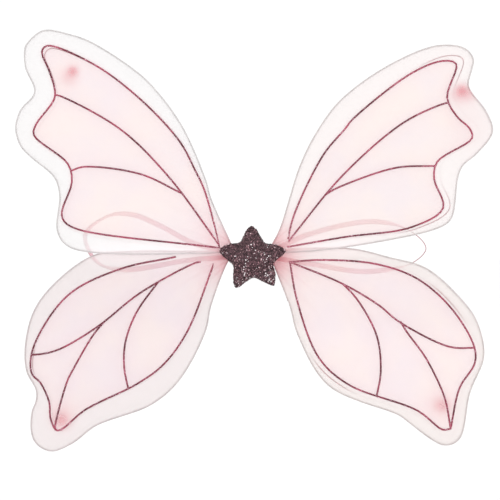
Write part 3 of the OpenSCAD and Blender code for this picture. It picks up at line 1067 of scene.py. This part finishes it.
def make_band(side, start):
    """Narrow elastic with lengthwise ribs, turned at its far end as the photo shows it"""
    line = resampled(band_stations("elastic_loop_" + side, start), 1.0 * MM)
    centres, halves = line[:, :3], line[:, 3:]
    us = np.concatenate([np.linspace(-1, 1, BAND_COLUMNS), np.linspace(1, -1, BAND_COLUMNS)[1:-1]])
    face = np.concatenate([np.ones(BAND_COLUMNS), -np.ones(BAND_COLUMNS - 2)])
    ribbed = BAND_HALF_THICKNESS + BAND_RIB * np.cos(us * 7.5 * math.pi)
    rise = face * ribbed * np.sqrt(np.maximum(0, 1 - us**10))
    points = []
    for i, centre in enumerate(centres):
        across, through = band_ways(centres, halves, i, FAR_END_ACROSS[side])
        points.extend(centre + across * u * BAND_WIDTH / 2 + through * h for u, h in zip(us, rise))
    faces = tube_faces(len(centres), len(us), turn=-1)
    piece = new_object("shoulder_elastic_" + side, points, faces, elastic)
    run = np.concatenate([[0], np.cumsum(np.linalg.norm(np.diff(centres, axis=0), axis=1))])
    set_values(piece, "across", np.tile(np.abs(us), len(centres)))
    set_values(piece, "along", np.repeat(run, len(us)))
    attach(piece, side + "_loop")
    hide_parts("elastic_loop_" + side)


def make_sewn_end(side, start):
    """End of the elastic that is sewn to the hub, as far as where the loop swings"""
    low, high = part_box("elastic_end_" + side)
    outline = face_loops("elastic_end_" + side)[0].copy()
    far = np.abs(outline[:, 0]) > np.abs(outline[:, 0]).max() - 0.5 * MM
    outline[far, 0] = start[0]
    outline = resampled_loop(outline, 0.8 * MM)
    piece = plate("elastic_sewn_end_" + side, outline, low.y, high.y, 0.3 * MM, elastic)
    co = positions(piece)
    middle = (low.z + high.z) / 2
    set_values(piece, "across", np.abs(np.abs(co[:, 2] - middle) - BAND_WIDTH / 2) / (BAND_WIDTH / 2))
    set_values(piece, "along", co[:, 0])
    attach(piece, "hub")
    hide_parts("elastic_end_" + side)


def make_tacks(side):
    """Rows of short stitches on the sewn end"""
    low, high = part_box("elastic_end_" + side)
    stitch = ((0, -0.1), (0.2, 0.15), (0.7, 0.15), (0.9, -0.1))  # along Z and off the elastic, in mm
    first, apart, count = 10.5 * MM, 1.5 * MM, 5
    paths = []
    for k in range(count):
        x = side_of(side) * (first + apart * k)
        for z in np.arange(low.z + 0.6 * MM, high.z - 0.8 * MM, apart):
            paths.append([(x, high.y + h * MM, z + d * MM) for d, h in stitch])
    piece = strands("elastic_tacks_" + side, paths, 0.17 * MM, thread)
    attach(piece, "hub")


def make_loop(side):
    """One shoulder loop, with its end on the hub"""
    low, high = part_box("elastic_end_" + side)
    hinge = side_of(side) * abs(JOINTS[side + "_loop_swing"]["pos_m"][0])
    start = np.array([hinge, (low.y + high.y) / 2, high.z - BAND_WIDTH / 2])
    make_band(side, start)
    make_sewn_end(side, start)
    make_tacks(side)


# Materials

COVER = 0.42  # share of light that one layer of cloth stops
OVERLAP_SHARE = 0.92  # how much of that is left where the two wings of a side come together
HUB_COVER = 0.72  # the same where it is gathered
LIGHT = 1.09  # light that reaches the front of the wings, next to the white floor's

# How the cloth looks in two layers over white: inside the contour line, outside it, and at the hub
CLOTH_COLOURS = {
    "upper_left": (srgb(254, 243, 243), srgb(252, 250, 250), srgb(252, 172, 182)),
    "upper_right": (srgb(254, 244, 243), srgb(254, 248, 247), srgb(252, 164, 172)),
    "lower_left": (srgb(249, 237, 238), srgb(246, 238, 238), srgb(250, 158, 168)),
    "lower_right": (srgb(253, 241, 241), srgb(250, 242, 240), srgb(252, 138, 152)),
}

# Changes of the cloth's colour, as shares of red, green and blue
LILAC_PATCH = (0.97, 0.96, 1.0)
PEACH_PATCH = (1.02, 1.0, 0.96)
BESIDE_LINES = (0.97, 0.86, 0.885)
# Painted light where the two wings of a side overlap, which offsets the shade on the layers behind
PAINTED_LIGHT_WHERE_WINGS_MEET = (1.13, 1.06, 1.08)

# Colours of the star's chips, and the share at which each begins; the two palest are painted glints
CHIP_COLOURS_AND_GLINTS = [
    (0.0, srgb(50, 32, 36)),
    (0.34, srgb(80, 53, 58)),
    (0.58, srgb(108, 76, 84)),
    (0.76, srgb(142, 104, 112)),
    (0.88, srgb(190, 146, 152)),
    (0.94, srgb(238, 206, 212)),
    (0.97, srgb(255, 244, 246)),
]


def new_material(name):
    """An empty material, and the tree that its nodes go in"""
    material = bpy.data.materials.new(name)
    material.use_nodes = True
    material.node_tree.nodes.clear()
    return material, material.node_tree


def add(tree, kind, **inputs):
    """A node with its own settings, and its sockets' values by name"""
    made = tree.nodes.new("ShaderNode" + kind)
    for name, value in inputs.items():
        socket = name.replace("_", " ")
        if socket in made.inputs:
            made.inputs[socket].default_value = value
        else:
            setattr(made, name, value)
    return made


def feed(tree, socket, value):
    """Links a socket to another one, or sets its number or colour"""
    if isinstance(value, bpy.types.NodeSocket):
        tree.links.new(value, socket)
    else:
        socket.default_value = (*value, 1) if isinstance(value, tuple) else value


def mixed(tree, factor, a, b, blend="MIX"):
    """A colour between a and b. Each is a socket or a value"""
    made = tree.nodes.new("ShaderNodeMix")
    made.data_type = "RGBA"
    made.blend_type = blend
    for number, value in ((0, factor), (6, a), (7, b)):
        feed(tree, made.inputs[number], value)
    return made.outputs[2]


def mapped(tree, value, low, high, to_low=0.0, to_high=1.0):
    """A number that goes from to_low to to_high as the value goes from low to high"""
    made = tree.nodes.new("ShaderNodeMapRange")
    tree.links.new(value, made.inputs["Value"])
    for name, number in zip(("From Min", "From Max", "To Min", "To Max"), (low, high, to_low, to_high)):
        made.inputs[name].default_value = number
    return made.outputs[0]


def mesh_value(tree, name):
    """A number that set_values gave the mesh"""
    return add(tree, "Attribute", attribute_name=name).outputs["Fac"]


def pattern(tree, kind, place=None, **settings):
    """A texture in the object's own space, or at a given place"""
    made = add(tree, kind, **settings)
    tree.links.new(place or add(tree, "TexCoord").outputs["Object"], made.inputs["Vector"])
    return made


def stretched_noise(tree, scale, detail=3.0, roughness=0.5):
    """Noise in the object's own space, scaled along X, Y and Z"""
    place = pattern(tree, "Mapping", Scale=scale).outputs[0]
    return pattern(tree, "TexNoise", place, Scale=1.0, Detail=detail, Roughness=roughness).outputs[0]


def random_cells(tree, scale):
    """Three random numbers for each small cell of the surface"""
    cells = pattern(tree, "TexVoronoi", Scale=scale)
    parts = add(tree, "SeparateColor")
    tree.links.new(cells.outputs["Color"], parts.inputs[0])
    return parts.outputs


def relief(tree, height, strength, distance):
    """Bumps that follow a height"""
    made = add(tree, "Bump", Strength=strength, Distance=distance)
    tree.links.new(height, made.inputs["Height"])
    return made.outputs[0]


def finished(tree, colour, bump, **settings):
    """The shader and the output. Each of the shader's settings is a socket or a value"""
    shader = add(tree, "BsdfPrincipled")
    tree.links.new(colour, shader.inputs["Base Color"])
    if bump:
        tree.links.new(bump, shader.inputs["Normal"])
    for name, value in settings.items():
        feed(tree, shader.inputs[name.replace("_", " ")], value)
    output = add(tree, "OutputMaterial")
    tree.links.new(shader.outputs[0], output.inputs[0])


def over_white(colour, cover):
    """The cloth's own colour, for two layers to look like this one over white"""
    through = (1 - cover) ** 2
    return tuple(max(0.02, (c - through) / (1 - through)) / LIGHT for c in colour)


def cloth_colour(tree, wing):
    """Pink of a wing's cloth, tinted by place, with painted shade in the pleats' valleys and painted light
    where the two wings of a side meet
    """
    inner, margin, hub = CLOTH_COLOURS[wing]
    inner, margin, hub = over_white(inner, COVER), over_white(margin, COVER), over_white(hub, HUB_COVER)
    clouds = stretched_noise(tree, (18, 18, 18), 4.0, 0.55)
    lilac, peach = scaled(inner, LILAC_PATCH), scaled(inner, PEACH_PATCH)
    patchy = mixed(tree, mapped(tree, clouds, 0.38, 0.62), lilac, peach)
    colour = mixed(tree, mesh_value(tree, "tint"), margin, patchy)
    colour = mixed(tree, mesh_value(tree, "near"), colour, scaled(inner, BESIDE_LINES))
    # Painted light where the two wings of a side overlap
    painted_light_share = mapped(tree, mesh_value(tree, "overlap"), 0, 1, 0, 0.9)
    colour = mixed(tree, painted_light_share, colour, scaled(margin, PAINTED_LIGHT_WHERE_WINGS_MEET))
    colour = mixed(tree, mesh_value(tree, "root"), colour, hub)
    # Painted shade in the pleats' valleys
    pleat_shade = mixed(tree, 1.0, colour, srgb(240, 214, 218), "MULTIPLY")
    colour = mixed(tree, mesh_value(tree, "valley_shade"), colour, pleat_shade)
    colour = mixed(tree, mesh_value(tree, "blot"), colour, srgb(214, 30, 70))
    return mixed(tree, mesh_value(tree, "edge"), colour, srgb(196, 190, 190))


def cloth_cover(tree):
    """Share of light that the cloth stops: more at its roots and edge, less where two wings meet"""
    dense = add(tree, "Math", operation="MAXIMUM")
    tree.links.new(mesh_value(tree, "root"), dense.inputs[0])
    tree.links.new(mesh_value(tree, "edge"), dense.inputs[1])
    thinned = add(tree, "Math", operation="MULTIPLY")
    tree.links.new(mapped(tree, dense.outputs[0], 0, 1, COVER, HUB_COVER), thinned.inputs[0])
    left = mapped(tree, mesh_value(tree, "overlap"), 0, 1, 1, OVERLAP_SHARE)
    tree.links.new(left, thinned.inputs[1])
    return thinned.outputs[0]


def cloth_relief(tree):
    """Fine threads both ways, over soft ripples"""
    warp, weft = (
        pattern(tree, "TexWave", bands_direction=axis, Scale=900.0, Distortion=1.2, Detail=1.0)
        for axis in ("X", "Z")
    )
    threads = mixed(tree, 0.5, warp.outputs["Color"], weft.outputs["Color"])
    ripples = stretched_noise(tree, (60, 60, 24), 2.0)
    return relief(tree, mixed(tree, 0.12, ripples, threads), 0.25, 0.0012)


def cloth_material(wing):
    """Sheer nylon: see-through, with a fine weave, tinted by place"""
    material, tree = new_material("sheer_nylon_" + wing)
    settings = {"Roughness": 0.42, "Sheen_Weight": 0.25, "Sheen_Roughness": 0.4, "Specular_IOR_Level": 0.35}
    colour, bump = cloth_colour(tree, wing), cloth_relief(tree)
    finished(tree, colour, bump, Alpha=cloth_cover(tree), **settings)
    return material


def glitter_material(name, dark, light, glint_colour):
    """Glue full of glitter: flakes that each tilt their own way, with painted glints and painted light and
    shade flake by flake
    """
    material, tree = new_material(name)
    flakes = random_cells(tree, 1900.0)
    drift = stretched_noise(tree, (45, 45, 45), 2.0)
    colour = mixed(tree, mapped(tree, drift, 0.38, 0.66), dark, light)
    colour = mixed(tree, mesh_value(tree, "pale"), colour, srgb(214, 132, 146))
    # Painted glints on some flakes, then painted light and shade flake by flake
    colour = mixed(tree, mapped(tree, flakes[0], 0.8, 0.95), colour, glint_colour)
    flake_light_and_shade = add(tree, "VectorMath", operation="SCALE")
    tree.links.new(colour, flake_light_and_shade.inputs[0])
    tree.links.new(mapped(tree, flakes[1], 0.0, 1.0, 0.55, 1.25), flake_light_and_shade.inputs["Scale"])
    bump = relief(tree, flakes[2], 0.8, 0.0004)
    finished(tree, flake_light_and_shade.outputs[0], bump, Roughness=0.32, Metallic=0.35)
    return material


def back_glitter_material():
    """The same glue on the back layer, thin and missing in places"""
    material, tree = new_material("back_line_glitter")
    wear = stretched_noise(tree, (260, 260, 260), 3.0, 0.6)
    worn = mapped(tree, wear, 0.4, 0.65)
    colour = mixed(tree, worn, srgb(134, 24, 44), srgb(182, 66, 88))
    bump = relief(tree, wear, 0.6, 0.0004)
    show = mapped(tree, mesh_value(tree, "show"), 0, 1, 0.1, 0.95)
    finished(tree, colour, bump, Roughness=0.4, Metallic=0.2, Alpha=show)
    return material


def wire_material():
    """Thin wire in a pale coat, worn in places"""
    material, tree = new_material("coated_wire")
    wear = stretched_noise(tree, (90, 90, 90), 4.0, 0.6)
    worn = mapped(tree, wear, 0.4, 0.7)
    colour = mixed(tree, worn, srgb(182, 177, 177), srgb(208, 203, 202))
    finished(tree, colour, relief(tree, wear, 0.3, 0.0003), Roughness=0.38, Metallic=0.3)
    return material


def felt_material(name, dark, light):
    """Pressed wool: matt, with short hairs"""
    material, tree = new_material(name)
    blotches = stretched_noise(tree, (160, 160, 160), 5.0, 0.65)
    hairs = stretched_noise(tree, (1500, 1500, 400), 3.0, 0.7)
    colour = mixed(tree, mapped(tree, blotches, 0.35, 0.68), dark, light)
    pale = mapped(tree, hairs, 0.5, 0.75, 0, 0.35)
    colour = mixed(tree, pale, colour, scaled(light, (1.5, 1.5, 1.5)))
    bump = relief(tree, hairs, 0.5, 0.0006)
    finished(tree, colour, bump, Roughness=0.95, Sheen_Weight=0.5, Sheen_Roughness=0.5)
    return material


def woven_material(name, dark, light, scale, axis):
    """Plain woven or twisted thread, with its ribs along one axis"""
    material, tree = new_material(name)
    settings = {"Scale": scale, "Distortion": 2.5, "Detail": 2.0, "Detail_Scale": 3.0}
    ribs = pattern(tree, "TexWave", bands_direction=axis, **settings).outputs["Fac"]
    wear = stretched_noise(tree, (120, 120, 120), 4.0, 0.6)
    colour = mixed(tree, ribs, dark, light)
    worn = mapped(tree, wear, 0.4, 0.75, 0, 0.4)
    colour = mixed(tree, worn, colour, scaled(dark, (0.75, 0.75, 0.75)))
    finished(tree, colour, relief(tree, ribs, 0.45, 0.0004), Roughness=0.7, Sheen_Weight=0.2)
    return material


def elastic_material():
    """Knitted elastic: pale pink faces with cross threads, with painted shade along its edges"""
    material, tree = new_material("knitted_elastic")
    across = mesh_value(tree, "across")
    place = add(tree, "CombineXYZ")
    tree.links.new(mesh_value(tree, "along"), place.inputs[0])
    tree.links.new(across, place.inputs[1])
    settings = {"bands_direction": "X", "Scale": 330.0, "Distortion": 1.0, "Detail": 1.0}
    weft = pattern(tree, "TexWave", place.outputs[0], **settings).outputs["Fac"]
    colour = mixed(tree, weft, srgb(243, 204, 212), srgb(250, 222, 228))
    dirt = stretched_noise(tree, (60, 60, 60), 4.0, 0.6)
    dirty = mapped(tree, dirt, 0.45, 0.75, 0, 0.3)
    colour = mixed(tree, dirty, colour, srgb(236, 186, 196))
    # Painted shade along the band's edges
    colour = mixed(tree, mapped(tree, across, 0.86, 0.96), colour, srgb(150, 66, 74))
    finished(tree, colour, relief(tree, weft, 0.5, 0.0004), Roughness=0.65)
    return material


def star_cloth_material():
    """Dark cloth under glitter, with painted shade where the cushion dips down to its seam"""
    material, tree = new_material("star_glitter_cloth")
    chips = random_cells(tree, 950.0)
    # Painted shade where the cushion dips down to its seam
    seam = mapped(tree, mesh_value(tree, "seam"), 0.2, 0.9)
    colour = mixed(tree, chips[0], srgb(50, 32, 36), srgb(98, 66, 72))
    colour = mixed(tree, seam, colour, srgb(40, 24, 27))
    finished(tree, colour, relief(tree, chips[1], 0.7, 0.0006), Roughness=0.45, Metallic=0.2)
    return material


def flake_material():
    """Glitter chips: mostly plum, some rose, a few painted white as glints"""
    material, tree = new_material("glitter_chips")
    ramp = add(tree, "ValToRGB")
    ramp.color_ramp.interpolation = "CONSTANT"
    elements = ramp.color_ramp.elements
    for position, _ in CHIP_COLOURS_AND_GLINTS[1:]:
        elements.new(position)
    elements.remove(elements[len(CHIP_COLOURS_AND_GLINTS)])
    for element, (position, colour) in zip(elements, CHIP_COLOURS_AND_GLINTS):
        element.position = position
        element.color = (*colour, 1)
    tree.links.new(mesh_value(tree, "shade"), ramp.inputs[0])
    grain = stretched_noise(tree, (2500, 2500, 2500), 2.0)
    bump = relief(tree, grain, 0.15, 0.0002)
    finished(tree, ramp.outputs[0], bump, Roughness=0.25, Metallic=0.55)
    return material


def floor_material():
    """White paper"""
    material, tree = new_material("floor")
    grain = stretched_noise(tree, (3, 3, 3), 4.0)
    colour = mixed(tree, grain, srgb(251, 251, 251), srgb(254, 254, 254))
    finished(tree, colour, None, Roughness=0.9)
    return material


# Stage


def make_camera():
    """Camera straight in front of the wings, which sees as much as the photo does"""
    camera_data = bpy.data.cameras.new("camera")
    camera_data.lens = 100
    camera_data.clip_end = 100
    camera = bpy.data.objects.new("camera", camera_data)
    away = VIEW_WIDTH * camera_data.lens / camera_data.sensor_width
    camera.location = (VIEW_CENTRE_X, plane_of("upper_left") - away, VIEW_CENTRE_Z)
    camera.rotation_euler = (math.pi / 2, 0, 0)
    bpy.context.scene.collection.objects.link(camera)
    bpy.context.scene.camera = camera


def make_floor():
    """Wide white disc below the wings"""
    drop, reach, n = 30 * MM, 40, 64
    turns = [math.tau * k / n for k in range(n)]
    ring = [(reach * math.cos(a), reach * math.sin(a), cad_box[0].z - drop) for a in turns]
    new_object("floor", ring, [list(range(n))], floor_material(), smooth=False)


def softbox(name, place, target, size, power):
    """Square soft light that faces a target"""
    light = bpy.data.lights.new(name, "AREA")
    light.size = size
    light.energy = power
    made = bpy.data.objects.new(name, light)
    made.location = place
    made.rotation_mode = "QUATERNION"
    made.rotation_quaternion = (Vector(target) - Vector(place)).to_track_quat("-Z", "Y")
    bpy.context.scene.collection.objects.link(made)


def make_lights():
    """White surroundings, and three soft lights"""
    world = bpy.data.worlds.new("studio")
    world.use_nodes = True
    background = world.node_tree.nodes["Background"]
    background.inputs[0].default_value = (1, 1, 1, 1)
    background.inputs[1].default_value = 1.05
    bpy.context.scene.world = world
    bpy.context.scene.view_settings.view_transform = "Standard"
    middle = (cad_box[0] + cad_box[1]) / 2
    softbox("key", middle + Vector((-1.2, -2.0, 1.6)), middle, 1.6, 5)
    softbox("fill", middle + Vector((1.8, -1.6, 0.6)), middle, 1.8, 2.5)
    softbox("back", middle + Vector((0.5, 2.2, 1.4)), middle, 1.8, 3)


# The scene

make_camera()
make_floor()
make_lights()
wire_paths = {wing: wire_path(wing) for wing in WINGS}
wire_coat = wire_material()
# The third colour is the lines' painted glints
line_glitter = glitter_material("line_glitter", srgb(104, 34, 48), srgb(188, 82, 106), srgb(238, 188, 204))
back_glitter = back_glitter_material()
cloth_materials = {wing: cloth_material(wing) for wing in WINGS}
star_cloth = star_cloth_material()
flake = flake_material()
star_felt = felt_material("star_felt", srgb(78, 50, 62), srgb(104, 72, 84))
pad_felt = felt_material("pad_felt", srgb(214, 140, 158), srgb(230, 164, 178))
tape = woven_material("wire_tape", srgb(206, 150, 162), srgb(226, 178, 188), 500.0, "X")
thread = woven_material("thread", srgb(198, 118, 138), srgb(232, 168, 184), 900.0, "Z")
dark_thread = woven_material("dark_thread", srgb(48, 30, 38), srgb(86, 58, 70), 900.0, "Z")
elastic = elastic_material()
for wing in WINGS:
    if wing.startswith("upper"):
        make_upper_wire(wing)
    else:
        make_lower_wire(wing)
    make_wing(wing)
    make_glitter(wing)
    back_line(wing)
make_star()
make_wrap()
make_pad()
pad_stitches()
hub_threads()
for side in ("left", "right"):
    make_loop(side)
